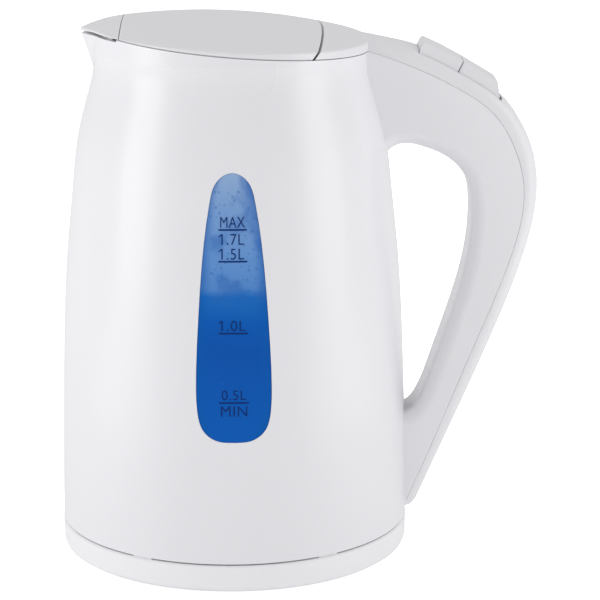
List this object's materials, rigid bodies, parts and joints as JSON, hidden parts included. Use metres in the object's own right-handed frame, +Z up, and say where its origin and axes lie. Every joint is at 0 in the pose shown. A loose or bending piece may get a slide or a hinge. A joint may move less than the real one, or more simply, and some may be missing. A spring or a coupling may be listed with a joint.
{
  "type": "electric kettle",
  "caption": "Jug-shaped cordless electric kettle on a round power base, with hinged domed lid, loop handle, push button, rocker switch and blue water windows.",
  "frame": {"origin": "centre of the circle the power base's feet stand on, on the jug's upright axis", "axes": "+Z up along the jug's axis, -X towards the spout, +X towards the handle, the pictured window on the -Y side"},
  "size_m": [0.2143, 0.1584, 0.242],
  "materials": {
    "aluminium": "satin",
    "bimetal": "brushed",
    "blue_window": "gloss",
    "brass": "satin",
    "dark_plastic": "satin",
    "grey_plastic": "satin",
    "rubber": "matte",
    "silicone": "matte",
    "steel": "brushed",
    "white_cover": "gloss",
    "white_inner": "satin",
    "white_shell": "gloss"
  },
  "bodies": {
    "power_base": {"base_boss_1": "grey_plastic", "base_boss_2": "grey_plastic", "base_boss_3": "grey_plastic", "base_foot": "rubber", "base_plate": "grey_plastic", "base_rest_1": "white_shell", "base_rest_2": "white_shell", "base_rest_3": "white_shell", "base_rest_4": "white_shell", "base_screw_1": "steel", "base_screw_2": "steel", "base_screw_3": "steel", "base_shell": "white_shell", "base_wire_1": "dark_plastic", "base_wire_2": "dark_plastic", "base_wire_3": "dark_plastic", "connector_post": "dark_plastic", "cord_gland": "rubber", "earth_contact": "brass", "live_contact": "brass", "neutral_contact": "brass", "terminal_block": "grey_plastic"},
    "coupler": {"coupler_pin": "brass", "coupler_ring": "brass", "coupler_socket": "dark_plastic"},
    "jug": {"bimetal_disc": "bimetal", "bimetal_mount": "dark_plastic", "button_spring": "steel", "control_block": "dark_plastic", "dry_boil_disc": "bimetal", "element_clamp": "grey_plastic", "element_plate": "steel", "element_seal": "silicone", "filter_frame": "white_inner", "filter_mesh": "steel", "handle_cover": "white_cover", "heating_element": "aluminium", "hinge_pin": "steel", "hinge_spring": "steel", "jug_body": "white_shell", "jug_bottom_cover": "white_inner", "jug_screw_1": "steel", "jug_screw_2": "steel", "jug_screw_3": "steel", "mouth_frame": "white_inner", "rocker_pin": "steel", "spout_cover": "white_cover", "switch_cradle": "dark_plastic", "trip_pin": "steel", "water_window_far": "blue_window", "water_window_near": "blue_window"},
    "lid": {"lid_inner": "white_inner", "lid_seal": "silicone", "lid_top": "white_cover"},
    "lid_button": {"lid_button": "white_cover"},
    "latch": {"latch_slider": "white_inner"},
    "rocker": {"rocker": "white_cover"},
    "trip_lever": {"trip_lever": "grey_plastic"}
  },
  "joints": [
    {"name": "jug_lift", "type": "slide", "parent": "power_base", "child": "coupler", "axis": [0, 0, 1], "range_m": [0, 0.06]},
    {"name": "jug_swivel", "type": "hinge", "parent": "coupler", "child": "jug", "pos_m": [0, 0, 0.0274], "axis": [0, 0, 1], "continuous": true},
    {"name": "lid_hinge", "type": "hinge", "parent": "jug", "child": "lid", "pos_m": [0.05171, 0, 0.2272], "axis": [0, 1, 0], "range_deg": [0, 75]},
    {"name": "button_press", "type": "slide", "parent": "jug", "child": "lid_button", "axis": [-0.454, 0, -0.891], "range_m": [0, 0.0025], "stiffness_N_per_m": 400, "springref_m": -0.002, "deforming": ["button_spring"]},
    {"name": "latch_slide", "type": "slide", "parent": "jug", "child": "latch", "axis": [1, 0, 0], "range_m": [0, 0.0025]},
    {"name": "rocker_tilt", "type": "hinge", "parent": "jug", "child": "rocker", "pos_m": [0.109, 0, 0.206], "axis": [0, 1, 0], "range_deg": [0, 6]},
    {"name": "trip_tilt", "type": "hinge", "parent": "jug", "child": "trip_lever", "pos_m": [0.106, 0, 0.1945], "axis": [0, 1, 0], "range_deg": [-6, 0]}
  ],
  "couplings": [
    {"joint": "latch_slide", "follows": "button_press", "ratio": 1},
    {"joint": "trip_tilt", "follows": "rocker_tilt", "ratio": -1}
  ]
}
